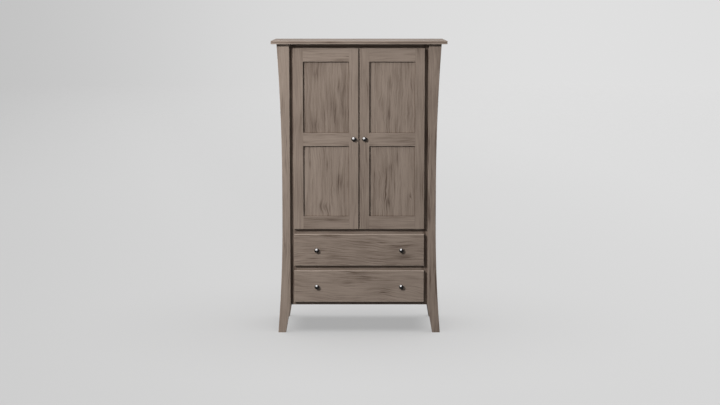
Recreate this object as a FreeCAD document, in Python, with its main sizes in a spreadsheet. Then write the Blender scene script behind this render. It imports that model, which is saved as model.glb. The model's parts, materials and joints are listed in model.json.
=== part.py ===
import FreeCAD, Part
import math
import os
from types import SimpleNamespace
import Sketcher

# TV armoire: a case on four flared posts, two panelled doors above two drawers.
# Millimetres, +Z up, front towards -Y, origin on the floor under the middle of the case.

# Driving dimensions
DRIVING_SIZES = {
    # case
    "height": 1829,
    "top_thickness": 20,
    "top_side_overhang": 34,
    "top_front_overhang": 26,
    "top_back_overhang": 26,
    "case_width": 1018,
    "case_depth": 550,
    "case_bottom": 175,
    "board_thickness": 19,
    # posts
    "post_width": 79,
    "post_depth": 50,
    "post_flare": 30,
    "waist_low": 720,
    "waist_high": 950,
    "foot_width": 49,
    "post_ease": 1.5,
    # face frame, and what shows of it round the doors and drawers
    "face_thickness": 19,
    "face_stile_width": 38,
    "side_reveal": 23,
    "top_reveal": 26,
    "rail_reveal": 31,
    "bottom_reveal": 20,
    "rail_overlap": 13,
    "front_gap": 2,
    # sides and back
    "side_inset": 9,
    "side_thickness": 19,
    "side_rail_width": 82,
    "rear_rail_width": 60,
    "rear_rail_thickness": 19,
    "back_thickness": 6,
    "back_rabbet": 12,
    "cable_hole_radius": 32,
    "cable_hole_rise": 70,
    # framed panels
    "panel_thickness": 6,
    "panel_recess": 10,
    "panel_clearance": 0.1,
    "panel_float": 1.5,
    "groove_depth": 10,
    # doors
    "door_thickness": 19,
    "door_stile_width": 60,
    "door_rail_width": 82,
    "meeting_gap": 6,
    "front_round": 3,
    "board_ease": 1.5,
    # shelf and cleats
    "shelf_rise": 650,
    "shelf_setback": 40,
    "shelf_clearance": 0.5,
    "shelf_cleat_width": 19,
    "cleat_height": 50,
    # drawers
    "drawer_front_height": 200,
    "drawer_wall": 12.7,
    "drawer_foot_gap": 12,
    "drawer_head_gap": 22,
    "drawer_back_gap": 26,
    "drawer_bottom_rise": 12,
    "drawer_bottom_thickness": 6,
    "drawer_groove": 6,
    "dovetail_tip": 30,
    "dovetail_root": 22,
    # slides
    "slide_width": 12.7,
    "slide_height": 45,
    "slide_sheet": 1.2,
    "slide_running_gap": 0.3,
    "slide_flange": 9,
    "slide_web_step": 3,
    "slide_setback": 4,
    # hinges
    "hinge_axis_inset": 4.5,
    "hinge_axis_depth": 6,
    "hinge_eye_radius": 4.2,
    "hinge_pin_radius": 2.5,
    "hinge_pin_clearance": 0.05,
    "hinge_sheet": 4,
    "hinge_leaf_gap": 0.3,
    "hinge_arm_width": 4,
    "hinge_plate_thickness": 2.5,
    "hinge_plate_height": 50,
    "hinge_plate_length": 27,
    "hinge_flange_depth": 16,
    "hinge_swing_room": 2,
    "hinge_end_distance": 110,
    # catches
    "catch_length": 40,
    "catch_height": 14,
    "catch_distance": 22,
    "catch_air": 0.2,
    "strike_thickness": 1.2,
    # knobs
    "knob_base_radius": 7,
    "knob_base_height": 1.5,
    "knob_neck_radius": 5,
    "knob_neck_start": 3,
    "knob_neck_end": 5,
    "knob_cap_radius": 14.3,
    "knob_cap_start": 9.5,
    "knob_cap_end": 11.5,
    "knob_length": 18.5,
    "knob_round": 1,
    "knob_bore_depth": 10,
    "door_knob_rise": 3,
    "drawer_knob_drop": 3,
    "drawer_knob_distance": 265,
    "screw_radius": 2,
    "screw_clearance": 0.05,
    "screw_head_radius": 4.2,
    "screw_head_height": 2.4,
    "screw_tip_gap": 1,
}

HINGES_PER_DOOR = 3
DOVETAILS_PER_CORNER = 3

ALONG_Y = FreeCAD.Rotation(FreeCAD.Vector(1, 0, 0), -90)
ACROSS_X = FreeCAD.Vector(1, 0, 0)
TOLERANCE = 1e-4

doc = FreeCAD.newDocument("tv_armoire")
sheet = doc.addObject("Spreadsheet::Sheet", "sizes")
for row, (alias, value) in enumerate(DRIVING_SIZES.items(), start=1):
    sheet.set(f"A{row}", alias)
    sheet.set(f"B{row}", str(value))
    sheet.setAlias(f"B{row}", alias)
doc.recompute()


class Length:
    """A length worked out from cells of the sheet, kept as the text of an expression."""

    def __init__(self, text):
        self.text = text

    def __add__(self, other):
        return Length(f"({self.text} + {text_of(other)})")

    def __sub__(self, other):
        return Length(f"({self.text} - {text_of(other)})")

    def __mul__(self, factor):
        return Length(f"({self.text} * {text_of(factor)})")

    def __truediv__(self, divisor):
        return Length(f"({self.text} / {text_of(divisor)})")

    def __neg__(self):
        return Length(f"(-{self.text})")

    def number(self):
        return float(sheet.evalExpression(self.text))


def text_of(value):
    return value.text if isinstance(value, Length) else str(value)


size = SimpleNamespace(**{alias: Length(f"sizes.{alias}") for alias in DRIVING_SIZES})

# Planes and levels shared by the pieces
underside = size.height - size.top_thickness
half_case = size.case_width / 2
post_inner = half_case - size.post_width
waist = half_case - size.post_flare

front = -size.case_depth / 2
back = size.case_depth / 2
front_post_back = front + size.post_depth
rear_post_front = back - size.post_depth
back_panel_front = back - size.back_thickness
door_back = front + size.door_thickness
face_front = door_back + size.front_gap
face_back = face_front + size.face_thickness

side_outer = waist - size.side_inset
side_inner = side_outer - size.side_thickness
opening_half = post_inner - size.face_stile_width
door_edge = post_inner - size.side_reveal
door_meeting = size.meeting_gap / 2

lower_front = size.case_bottom + size.bottom_reveal
lower_front_top = lower_front + size.drawer_front_height
upper_front = lower_front_top + size.rail_reveal
upper_front_top = upper_front + size.drawer_front_height
door_bottom = upper_front_top + size.rail_reveal
door_top = underside - size.top_reveal
door_middle = (door_bottom + door_top) / 2
bottom_level = lower_front + size.rail_overlap
deck_level = door_bottom + size.rail_overlap


def place(piece, x, y, z):
    piece.setExpression("Placement.Base.x", text_of(x))
    piece.setExpression("Placement.Base.y", text_of(y))
    piece.setExpression("Placement.Base.z", text_of(z))
    return piece


def box(label, x, y, z):
    """A board between two planes along each axis."""
    piece = doc.addObject("Part::Box", label)
    for name, (low, high) in (("Length", x), ("Width", y), ("Height", z)):
        piece.setExpression(name, (high - low).text)
    return place(piece, x[0], y[0], z[0])


def rod_along_y(label, radius, x, y, z):
    piece = doc.addObject("Part::Cylinder", label)
    piece.setExpression("Radius", radius.text)
    piece.setExpression("Height", (y[1] - y[0]).text)
    piece.Placement.Rotation = ALONG_Y
    return place(piece, x, y[0], z)


def rod_along_z(label, radius, x, y, z):
    piece = doc.addObject("Part::Cylinder", label)
    piece.setExpression("Radius", radius.text)
    piece.setExpression("Height", (z[1] - z[0]).text)
    return place(piece, x, y, z[0])


def fuse(label, members):
    piece = doc.addObject("Part::MultiFuse", label)
    piece.Shapes = members
    piece.Refine = True
    return piece


def cut(label, base, tools):
    piece = doc.addObject("Part::Cut", label)
    piece.Base = base
    piece.Tool = tools[0] if len(tools) == 1 else fuse(f"{label}_cutters", tools)
    return piece


def group(label, members):
    piece = doc.addObject("Part::Compound", label)
    piece.Links = members
    return piece


def mirror(label, source):
    """The same piece on the other side of the case."""
    piece = doc.addObject("Part::Mirroring", label)
    piece.Source = source
    piece.Normal = ACROSS_X
    return piece


def both_sides(label, members):
    """Right-hand pieces and their left-hand twins as one node of separate solids."""
    twins = [mirror(f"{member.Name}_twin", member) for member in members]
    return group(label, members + twins)


def edges_where(shape, test):
    return [index for index, edge in enumerate(shape.Edges, start=1) if test(edge.BoundBox)]


def lies_at(low, high, level):
    return abs(low - level) < TOLERANCE and abs(high - level) < TOLERANCE


def round_over(label, base, radius, test):
    """Rounds the edges of a board whose bounding box passes the test."""
    doc.recompute()
    piece = doc.addObject("Part::Fillet", label)
    piece.Base = base
    amount = radius.number()
    piece.Edges = [(index, amount, amount) for index in edges_where(base.Shape, test)]
    return piece


def body_with_sketch(label, plane):
    body = doc.addObject("PartDesign::Body", label)
    sketch = body.newObject("Sketcher::SketchObject", f"{label}_sketch")
    support = next(item for item in body.Origin.OriginFeatures if item.Role == plane)
    sketch.AttachmentSupport = [(support, "")]
    sketch.MapMode = "FlatFace"
    return body, sketch


# The sketcher's numbers for the points of a curve and for a sketch's own axes
START, END, CENTRE = range(1, 4)
FLOOR_AXIS, UPRIGHT_AXIS = range(-1, -3, -1)
ORIGIN = (FLOOR_AXIS, START)


def pin_point(sketch, geometry, end, across, up):
    """Holds a sketch point at its distances from the origin; None keeps it on an axis."""
    held = (("DistanceX", across, UPRIGHT_AXIS), ("DistanceY", up, FLOOR_AXIS))
    for kind, distance, axis in held:
        if distance is None:
            sketch.addConstraint(Sketcher.Constraint("PointOnObject", geometry, end, axis))
            continue
        constraint = Sketcher.Constraint(kind, *ORIGIN, geometry, end, distance.number())
        index = sketch.addConstraint(constraint)
        sketch.setExpression(f"Constraints[{index}]", distance.text)


def point(across, up):
    return FreeCAD.Vector(across.number() if across else 0, up.number() if up else 0, 0)


def flare_arc(near_level, far_level):
    """Arc that leaves the waist upright and reaches the full flare at the far level."""
    rise = abs(far_level - near_level)
    flare = size.post_flare.number()
    radius = (rise * rise + flare * flare) / (2 * flare)
    centre = FreeCAD.Vector(waist.number() + radius, near_level, 0)
    swing = math.asin(rise / radius)
    circle = Part.Circle(centre, FreeCAD.Vector(0, 0, 1), radius)
    if far_level > near_level:
        return Part.ArcOfCircle(circle, math.pi - swing, math.pi)
    return Part.ArcOfCircle(circle, math.pi, math.pi + swing)


def post_blank(label, y):
    """A right-hand post: straight inside, hollowed outside, with a tapered foot."""
    body, sketch = body_with_sketch(label, "XZ_Plane")
    corners = {
        "knee": (post_inner, size.case_bottom),
        "inner_top": (post_inner, underside),
        "outer_top": (half_case, underside),
        "waist_top": (waist, size.waist_high),
        "waist_foot": (waist, size.waist_low),
        "outer_foot": (half_case, None),
        "inner_foot": (half_case - size.foot_width, None),
    }
    at = {name: point(*place_of) for name, place_of in corners.items()}
    outline = [
        Part.LineSegment(at["knee"], at["inner_top"]),
        Part.LineSegment(at["inner_top"], at["outer_top"]),
        flare_arc(size.waist_high.number(), underside.number()),
        Part.LineSegment(at["waist_top"], at["waist_foot"]),
        flare_arc(size.waist_low.number(), 0),
        Part.LineSegment(at["outer_foot"], at["inner_foot"]),
        Part.LineSegment(at["inner_foot"], at["knee"]),
    ]
    lines = sketch.addGeometry(outline)
    inner, top, upper_arc, waist_line, lower_arc, foot, taper = lines
    corner_joints = ((inner, top), (top, upper_arc), (lower_arc, foot), (foot, taper), (taper, inner))
    for first, second in corner_joints:
        sketch.addConstraint(Sketcher.Constraint("Coincident", first, END, second, START))
    for first, second in ((upper_arc, waist_line), (waist_line, lower_arc)):
        sketch.addConstraint(Sketcher.Constraint("Tangent", first, END, second, START))
    for geometry, place_of in zip(lines, corners.values()):
        pin_point(sketch, geometry, START, *place_of)
    pad = body.newObject("PartDesign::Pad", f"{label}_pad")
    pad.Profile = sketch
    pad.setExpression("Length", size.post_depth.text)
    pad.Reversed = True
    doc.recompute()
    faces = (0, size.post_depth.number())

    def runs_up_a_face(bounds):
        upright = bounds.ZLength > bounds.XLength
        return upright and any(lies_at(bounds.YMin, bounds.YMax, face) for face in faces)

    ease = body.newObject("PartDesign::Chamfer", f"{label}_ease")
    chosen = edges_where(pad.Shape, runs_up_a_face)
    ease.Base = (pad, [f"Edge{index}" for index in chosen])
    ease.setExpression("Size", size.post_ease.text)
    body.Tip = ease
    return place(body, 0, y, 0)


# Side panels sit in one groove that runs round the rails and down both posts
side_panel_outer = side_outer - size.panel_recess
side_panel_inner = side_panel_outer - size.panel_thickness
side_groove_x = (side_panel_inner - size.panel_clearance, side_panel_outer + size.panel_clearance)
case_levels = (size.case_bottom, underside)


def make_posts():
    front_groove_y = (front_post_back - size.groove_depth, front_post_back)
    rear_groove_y = (rear_post_front, rear_post_front + size.groove_depth)
    rabbet_x = (post_inner, post_inner + size.back_rabbet)
    front_groove = box("front_post_groove", side_groove_x, front_groove_y, case_levels)
    rear_groove = box("rear_post_groove", side_groove_x, rear_groove_y, case_levels)
    rabbet = box("back_rabbet", rabbet_x, (back_panel_front, back), case_levels)
    front_blank = post_blank("front_post_blank", front)
    rear_blank = post_blank("rear_post_blank", rear_post_front)
    front_right = cut("front_right_post", front_blank, [front_groove])
    rear_right = cut("rear_right_post", rear_blank, [rear_groove, rabbet])
    return [
        front_right,
        mirror("front_left_post", front_right),
        rear_right,
        mirror("rear_left_post", rear_right),
    ]


def make_top():
    half_width = half_case + size.top_side_overhang
    depth = (front - size.top_front_overhang, back + size.top_back_overhang)
    blank = box("top_blank", (-half_width, half_width), depth, (underside, size.height))
    return [round_over("top_board", blank, size.board_ease, lambda bounds: True)]


def side_rail(label, levels, panel_below, panel_above):
    """A side rail with a stub tenon at each end, grooved where a panel meets it."""
    shoulder = (front_post_back, rear_post_front)
    blank = box(f"{label}_blank", (side_inner, side_outer), shoulder, levels)
    length = (shoulder[0] - size.groove_depth, shoulder[1] + size.groove_depth)
    tongue = box(f"{label}_tongue", side_groove_x, length, levels)
    rail = fuse(f"{label}_tenoned", [blank, tongue])
    grooves = []
    if panel_below:
        low = (levels[0], levels[0] + size.groove_depth)
        grooves.append(box(f"{label}_low_groove", side_groove_x, length, low))
    if panel_above:
        high = (levels[1] - size.groove_depth, levels[1])
        grooves.append(box(f"{label}_high_groove", side_groove_x, length, high))
    return cut(label, rail, grooves)


def make_sides():
    middle = (upper_front_top + door_bottom) / 2
    half_rail = size.side_rail_width / 2
    bottom = (size.case_bottom, size.case_bottom + size.side_rail_width)
    centre = (middle - half_rail, middle + half_rail)
    top = (underside - size.side_rail_width, underside)
    rails = [
        side_rail("side_bottom_rail", bottom, False, True),
        side_rail("side_middle_rail", centre, True, True),
        side_rail("side_top_rail", top, True, False),
    ]
    reach = size.groove_depth - size.panel_float
    depth = (front_post_back - reach, rear_post_front + reach)
    thickness = (side_panel_inner, side_panel_outer)
    panels = [
        box("side_lower_panel", thickness, depth, (bottom[1] - reach, centre[0] + reach)),
        box("side_upper_panel", thickness, depth, (centre[1] - reach, top[0] + reach)),
    ]
    return [both_sides("side_rails", rails), both_sides("side_panels", panels)]


def make_face_frame():
    depth = (face_front, face_back)
    width = (-opening_half, opening_half)
    stile = box("face_stile", (opening_half, post_inner), depth, case_levels)
    between_drawers = (lower_front_top - size.rail_overlap, upper_front + size.rail_overlap)
    under_doors = (upper_front_top - size.rail_overlap, deck_level)
    drawer_rail = box("face_drawer_rail", width, depth, between_drawers)
    deck_rail = box("face_deck_rail", width, depth, under_doors)
    return [
        both_sides("face_stiles", [stile]),
        box("face_top_rail", width, depth, (door_top - size.rail_overlap, underside)),
        group("face_middle_rails", [drawer_rail, deck_rail]),
        box("face_bottom_rail", width, depth, (size.case_bottom, bottom_level)),
    ]


def notched_board(label, top_level):
    """A full-depth board let in round the four posts."""
    levels = (top_level - size.board_thickness, top_level)
    blank = box(f"{label}_blank", (-side_inner, side_inner), (face_back, back_panel_front), levels)
    corners = (("front", (face_back, front_post_back)), ("rear", (rear_post_front, back_panel_front)))
    sides = (("right", (post_inner, side_inner)), ("left", (-side_inner, -post_inner)))
    notches = []
    for end, depth in corners:
        for side, width in sides:
            notches.append(box(f"{label}_{end}_{side}_notch", width, depth, levels))
    return cut(label, blank, notches)


def make_back():
    rear = (back_panel_front - size.rear_rail_thickness, back_panel_front)
    width = (-post_inner, post_inner)
    rails = [
        box("rear_bottom_rail", width, rear, (size.case_bottom, bottom_level - size.board_thickness)),
        box("rear_top_rail", width, rear, (underside - size.rear_rail_width, underside)),
    ]
    half_panel = post_inner + size.back_rabbet - size.panel_clearance
    sheet_depth = (back_panel_front, back)
    blank = box("back_blank", (-half_panel, half_panel), sheet_depth, case_levels)
    hole_level = deck_level + size.cable_hole_rise
    hole = rod_along_y("cable_hole", size.cable_hole_radius, 0, sheet_depth, hole_level)
    return [group("rear_rails", rails), cut("back_panel", blank, [hole])]


shelf_level = deck_level + size.shelf_rise


def make_boards():
    half_shelf = post_inner - size.shelf_clearance
    depth = (face_back + size.shelf_setback, back_panel_front - size.shelf_clearance)
    levels = (shelf_level, shelf_level + size.board_thickness)
    return [
        notched_board("tv_deck", deck_level),
        notched_board("bottom_board", bottom_level),
        box("media_shelf", (-half_shelf, half_shelf), depth, levels),
    ]


def drawer_levels(front_level):
    """Lower edge, upper edge and slide line of a drawer box behind its front."""
    low = front_level + size.rail_overlap + size.drawer_foot_gap
    high = front_level + size.drawer_front_height - size.rail_overlap - size.drawer_head_gap
    return low, high, (low + high) / 2


def make_cleats():
    depth = (face_back, back_panel_front)
    half_cleat = size.cleat_height / 2
    shelf_x = (post_inner - size.shelf_cleat_width, post_inner)
    cleats = [box("shelf_cleat", shelf_x, depth, (shelf_level - size.cleat_height, shelf_level))]
    for name, front_level in (("lower", lower_front), ("upper", upper_front)):
        line = drawer_levels(front_level)[2]
        levels = (line - half_cleat, line + half_cleat)
        cleats.append(box(f"{name}_slide_cleat", (opening_half, post_inner), depth, levels))
    return [both_sides("case_cleats", cleats)]


def grooved_stile(label, x, groove_x):
    depth = (front, door_back)
    blank = box(f"{label}_blank", x, depth, (door_bottom, door_top))
    groove = box(f"{label}_groove", groove_x, door_groove_y, (door_bottom, door_top))
    return blank, groove


# Door panels sit in one groove that runs round the stiles and rails
door_panel_y = (front + size.panel_recess, front + size.panel_recess + size.panel_thickness)
door_groove_y = (door_panel_y[0] - size.panel_clearance, door_panel_y[1] + size.panel_clearance)
panel_left = door_meeting + size.door_stile_width
panel_right = door_edge - size.door_stile_width


def front_edge(bounds):
    return lies_at(bounds.YMin, bounds.YMax, front.number())


def door_rail(label, levels, panel_below, panel_above):
    """A door rail with a stub tenon at each end, grooved where a panel meets it."""
    blank = box(f"{label}_blank", (panel_left, panel_right), (front, door_back), levels)
    length = (panel_left - size.groove_depth, panel_right + size.groove_depth)
    tongue = box(f"{label}_tongue", length, door_groove_y, levels)
    grooves = []
    if panel_below:
        low = (levels[0], levels[0] + size.groove_depth)
        grooves.append(box(f"{label}_low_groove", length, door_groove_y, low))
    if panel_above:
        high = (levels[1] - size.groove_depth, levels[1])
        grooves.append(box(f"{label}_high_groove", length, door_groove_y, high))
    return cut(label, fuse(f"{label}_tenoned", [blank, tongue]), grooves)


# Hinge line, and the outline of a hinge in plan
hinge_x = door_edge - size.hinge_axis_inset
hinge_y = door_back - size.hinge_axis_depth
hinge_arm_x = opening_half - size.hinge_arm_width
hinge_slot_x = hinge_arm_x - size.hinge_swing_room
hinge_plate_x = hinge_slot_x - size.hinge_plate_length
hinge_plate_y = (door_back - size.hinge_plate_thickness, door_back)
hinge_eye_y = (hinge_y - size.hinge_eye_radius, hinge_y + size.hinge_eye_radius)
half_sheet = size.hinge_sheet / 2
half_knuckle = half_sheet + size.hinge_leaf_gap + size.hinge_sheet


def hinge_levels():
    first = door_bottom + size.hinge_end_distance
    step = (door_top - size.hinge_end_distance - first) / (HINGES_PER_DOOR - 1)
    return [first + step * index for index in range(HINGES_PER_DOOR)]


def hinge_frame_leaf(label, level):
    """Flange on the inner edge of the face stile, with a tongue that reaches round to the pin."""
    half_plate = size.hinge_plate_height / 2
    flange_y = (face_front, face_front + size.hinge_flange_depth)
    flange = box(
        f"{label}_flange",
        (opening_half - size.hinge_plate_thickness, opening_half),
        flange_y,
        (level - half_plate, level + half_plate),
    )
    tongue_z = (level - half_sheet, level + half_sheet)
    arm = box(f"{label}_arm", (hinge_arm_x, opening_half), (hinge_eye_y[0], flange_y[1]), tongue_z)
    bar = box(f"{label}_bar", (hinge_arm_x, hinge_x), hinge_eye_y, tongue_z)
    eye = rod_along_z(f"{label}_eye", size.hinge_eye_radius, hinge_x, hinge_y, tongue_z)
    bore_radius = size.hinge_pin_radius + size.hinge_pin_clearance
    bore = rod_along_z(f"{label}_bore", bore_radius, hinge_x, hinge_y, tongue_z)
    return cut(label, fuse(f"{label}_blank", [flange, arm, bar, eye]), [bore])


def hinge_leaf(label, level):
    """Plate let into the back of the door, with two lugs that hold the pin."""
    half_plate = size.hinge_plate_height / 2
    plate_z = (level - half_plate, level + half_plate)
    members = [box(f"{label}_plate", (hinge_plate_x, hinge_slot_x), hinge_plate_y, plate_z)]
    lug_start = half_sheet + size.hinge_leaf_gap
    root_x = (hinge_slot_x - size.hinge_arm_width, hinge_slot_x)
    for name, lug_z in (
        ("upper", (level + lug_start, level + half_knuckle)),
        ("lower", (level - half_knuckle, level - lug_start)),
    ):
        members.append(box(f"{label}_{name}_root", root_x, (hinge_eye_y[0], door_back), lug_z))
        members.append(box(f"{label}_{name}_bar", (root_x[0], hinge_x), hinge_eye_y, lug_z))
        eye_radius = size.hinge_eye_radius
        members.append(rod_along_z(f"{label}_{name}_eye", eye_radius, hinge_x, hinge_y, lug_z))
    knuckle_z = (level - half_knuckle, level + half_knuckle)
    bore = rod_along_z(f"{label}_bore", size.hinge_pin_radius, hinge_x, hinge_y, knuckle_z)
    return cut(label, fuse(f"{label}_blank", members), [bore])


def hinge_mortise(label, level):
    """Room in the hinge stile for one hinge: a slot for the knuckle and a bed for the plate."""
    half_plate = size.hinge_plate_height / 2
    half_slot = half_knuckle + size.hinge_leaf_gap
    slot_floor = hinge_eye_y[0] - size.hinge_leaf_gap
    slot_x = (hinge_slot_x - size.hinge_arm_width, door_edge)
    slot_z = (level - half_slot, level + half_slot)
    bed_z = (level - half_plate, level + half_plate)
    slot = box(f"{label}_slot", slot_x, (slot_floor, door_back), slot_z)
    bed = box(f"{label}_bed", (hinge_plate_x, hinge_slot_x), hinge_plate_y, bed_z)
    return [slot, bed]


def knob(label, x, z):
    """Turned mushroom knob, standing out from the front towards -Y."""
    body, sketch = body_with_sketch(label, "XY_Plane")
    bore = size.screw_radius + size.screw_clearance
    rim_corner = (size.knob_cap_radius, -size.knob_cap_end)
    corners = [
        (bore, None),
        (size.knob_base_radius, None),
        (size.knob_base_radius, -size.knob_base_height),
        (size.knob_neck_radius, -size.knob_neck_start),
        (size.knob_neck_radius, -size.knob_neck_end),
        (size.knob_cap_radius, -size.knob_cap_start),
        rim_corner,
        (None, -size.knob_length),
        (None, -size.knob_bore_depth),
        (bore, -size.knob_bore_depth),
    ]
    at = [point(*corner) for corner in corners]
    rim = corners.index(rim_corner)
    dome_height = size.knob_length.number() - size.knob_cap_end.number()
    cap = size.knob_cap_radius.number()
    dome_radius = (cap * cap + dome_height * dome_height) / (2 * dome_height)
    centre = FreeCAD.Vector(0, at[rim + 1].y + dome_radius, 0)
    circle = Part.Circle(centre, FreeCAD.Vector(0, 0, 1), dome_radius)
    rim_angle = math.atan2(at[rim].y - centre.y, cap)
    outline = [Part.LineSegment(*ends) for ends in zip(at, at[1:] + at[:1])]
    outline[rim] = Part.ArcOfCircle(circle, -math.pi / 2, rim_angle)
    lines = sketch.addGeometry(outline)
    for index, geometry in enumerate(lines):
        following = lines[(index + 1) % len(lines)]
        leaves = START if index == rim else END
        arrives = END if index == rim - 1 else START
        sketch.addConstraint(Sketcher.Constraint("Coincident", geometry, leaves, following, arrives))
    sketch.addConstraint(Sketcher.Constraint("PointOnObject", lines[rim], CENTRE, UPRIGHT_AXIS))
    for index, (geometry, corner) in enumerate(zip(lines, corners)):
        pin_point(sketch, geometry, END if index == rim else START, *corner)
    turned = body.newObject("PartDesign::Revolution", f"{label}_turned")
    turned.Profile = sketch
    turned.ReferenceAxis = (sketch, ["V_Axis"])
    doc.recompute()
    softened = body.newObject("PartDesign::Fillet", f"{label}_softened")
    rim_levels = (-size.knob_cap_start.number(), -size.knob_cap_end.number())

    def bounds_the_rim(bounds):
        return any(lies_at(bounds.YMin, bounds.YMax, level) for level in rim_levels)

    chosen = edges_where(turned.Shape, bounds_the_rim)
    softened.Base = (turned, [f"Edge{index}" for index in chosen])
    softened.setExpression("Radius", size.knob_round.text)
    body.Tip = softened
    return place(body, x, front, z)


def knob_screw(label, x, z):
    """Screw from behind the front into the knob."""
    tip = front - size.knob_bore_depth + size.screw_tip_gap
    shank = rod_along_y(f"{label}_shank", size.screw_radius, x, (tip, door_back), z)
    head_y = (door_back, door_back + size.screw_head_height)
    head = rod_along_y(f"{label}_head", size.screw_head_radius, x, head_y, z)
    return fuse(label, [shank, head])


def knob_hole(label, x, z):
    return rod_along_y(label, size.screw_radius + size.screw_clearance, x, (front, door_back), z)


knob_x = door_meeting + size.door_stile_width / 2
catch_x = (size.catch_distance, size.catch_distance + size.catch_length)
catch_z = (door_top - size.rail_overlap - size.catch_height, door_top - size.rail_overlap)
strike_y = (door_back, door_back + size.strike_thickness)


def make_doors():
    """The right-hand door piece by piece, each with its left-hand twin."""
    rail = size.door_rail_width
    half_rail = rail / 2
    bottom = (door_bottom, door_bottom + rail)
    middle = (door_middle - half_rail, door_middle + half_rail)
    top = (door_top - rail, door_top)

    def ends_or_side(level):
        return lambda bounds: front_edge(bounds) and (
            lies_at(bounds.XMin, bounds.XMax, level)
            or lies_at(bounds.ZMin, bounds.ZMax, door_bottom.number())
            or lies_at(bounds.ZMin, bounds.ZMax, door_top.number())
        )

    def along(level):
        return lambda bounds: front_edge(bounds) and lies_at(bounds.ZMin, bounds.ZMax, level)

    def soften(label, board, test):
        return round_over(label, board, size.front_round, test)

    levels = hinge_levels()
    hinge_groove_x = (panel_right, panel_right + size.groove_depth)
    hinge_board, hinge_groove = grooved_stile("hinge_stile", (panel_right, door_edge), hinge_groove_x)
    hinge_blank = soften("hinge_stile_round", hinge_board, ends_or_side(door_edge.number()))
    mortises = [hinge_groove]
    for number, level in enumerate(levels, start=1):
        mortises += hinge_mortise(f"hinge_mortise_{number}", level)
    meeting_groove_x = (panel_left - size.groove_depth, panel_left)
    meeting_board, meeting_groove = grooved_stile(
        "meeting_stile", (door_meeting, panel_left), meeting_groove_x
    )
    meeting_blank = soften("meeting_stile_round", meeting_board, ends_or_side(door_meeting.number()))
    top_rail = door_rail("door_top_rail", top, True, False)
    bottom_rail = door_rail("door_bottom_rail", bottom, False, True)
    reach = size.groove_depth - size.panel_float
    panel_x = (panel_left - reach, panel_right + reach)
    upper_panel_z = (middle[1] - reach, top[0] + reach)
    lower_panel_z = (bottom[1] - reach, middle[0] + reach)
    knob_level = door_middle + size.door_knob_rise
    knob_bore = knob_hole("door_knob_hole", knob_x, knob_level)
    right = {
        "hinge_stile": cut("right_door_hinge_stile", hinge_blank, mortises),
        "meeting_stile": cut("right_door_meeting_stile", meeting_blank, [meeting_groove, knob_bore]),
        "top_rail": soften("right_door_top_rail", top_rail, along(door_top.number())),
        "middle_rail": door_rail("right_door_middle_rail", middle, True, True),
        "bottom_rail": soften("right_door_bottom_rail", bottom_rail, along(door_bottom.number())),
        "upper_panel": box("right_door_upper_panel", panel_x, door_panel_y, upper_panel_z),
        "lower_panel": box("right_door_lower_panel", panel_x, door_panel_y, lower_panel_z),
        "knob": knob("right_door_knob", knob_x, knob_level),
        "knob_screw": knob_screw("right_door_knob_screw", knob_x, knob_level),
        "strike": box("right_door_strike", catch_x, strike_y, catch_z),
    }
    pins = []
    leaves = []
    for number, level in enumerate(levels, start=1):
        leaves.append(hinge_leaf(f"hinge_leaf_{number}", level))
        pin_z = (level - half_knuckle, level + half_knuckle)
        pin = rod_along_z(f"hinge_pin_{number}", size.hinge_pin_radius, hinge_x, hinge_y, pin_z)
        pins.append(pin)
    right["hinge_leaves"] = group("right_door_hinge_leaves", leaves)
    right["hinge_pins"] = group("right_door_hinge_pins", pins)
    left = [mirror(f"left_door_{name}", piece) for name, piece in right.items()]
    return list(right.values()) + left


def make_door_fittings():
    leaves = []
    for number, level in enumerate(hinge_levels(), start=1):
        leaves.append(hinge_frame_leaf(f"frame_leaf_{number}", level))
    catch_front = strike_y[1] + size.catch_air
    catch = box("door_catch", catch_x, (catch_front, face_back), catch_z)
    return [both_sides("hinge_frame_leaves", leaves), both_sides("door_catches", [catch])]


def channel(label, web_x, flange_x, half_height, line):
    """A slide member: an upright web with a flange along its upper and lower edge."""
    upper_z = (line + half_height - size.slide_sheet, line + half_height)
    lower_z = (line - half_height, line - half_height + size.slide_sheet)
    web = box(f"{label}_web", web_x, slide_depth, (line - half_height, line + half_height))
    upper = box(f"{label}_upper", flange_x, slide_depth, upper_z)
    lower = box(f"{label}_lower", flange_x, slide_depth, lower_z)
    return fuse(label, [web, upper, lower])


box_half = opening_half - size.slide_width
box_back = back_panel_front - size.drawer_back_gap
slide_depth = (face_front + size.slide_setback, box_back)
nest_step = size.slide_sheet + size.slide_running_gap


def slide_members(prefix, line):
    """Cabinet, middle and drawer member of a right-hand slide, one inside the other."""
    half = size.slide_height / 2
    middle_web = opening_half - size.slide_web_step
    cabinet_web_x = (opening_half - size.slide_sheet, opening_half)
    cabinet_flange_x = (opening_half - size.slide_flange, opening_half)
    middle_web_x = (middle_web - size.slide_sheet, middle_web)
    middle_flange_x = (middle_web - size.slide_flange, middle_web)
    runner_web_x = (box_half, box_half + size.slide_sheet)
    runner_flange_x = (box_half, box_half + size.slide_flange - size.slide_web_step)
    middle_half = half - nest_step
    runner_half = middle_half - nest_step
    return (
        channel(f"{prefix}_slide_cabinet", cabinet_web_x, cabinet_flange_x, half, line),
        channel(f"{prefix}_slide_middle", middle_web_x, middle_flange_x, middle_half, line),
        channel(f"{prefix}_slide_runner", runner_web_x, runner_flange_x, runner_half, line),
    )


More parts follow.
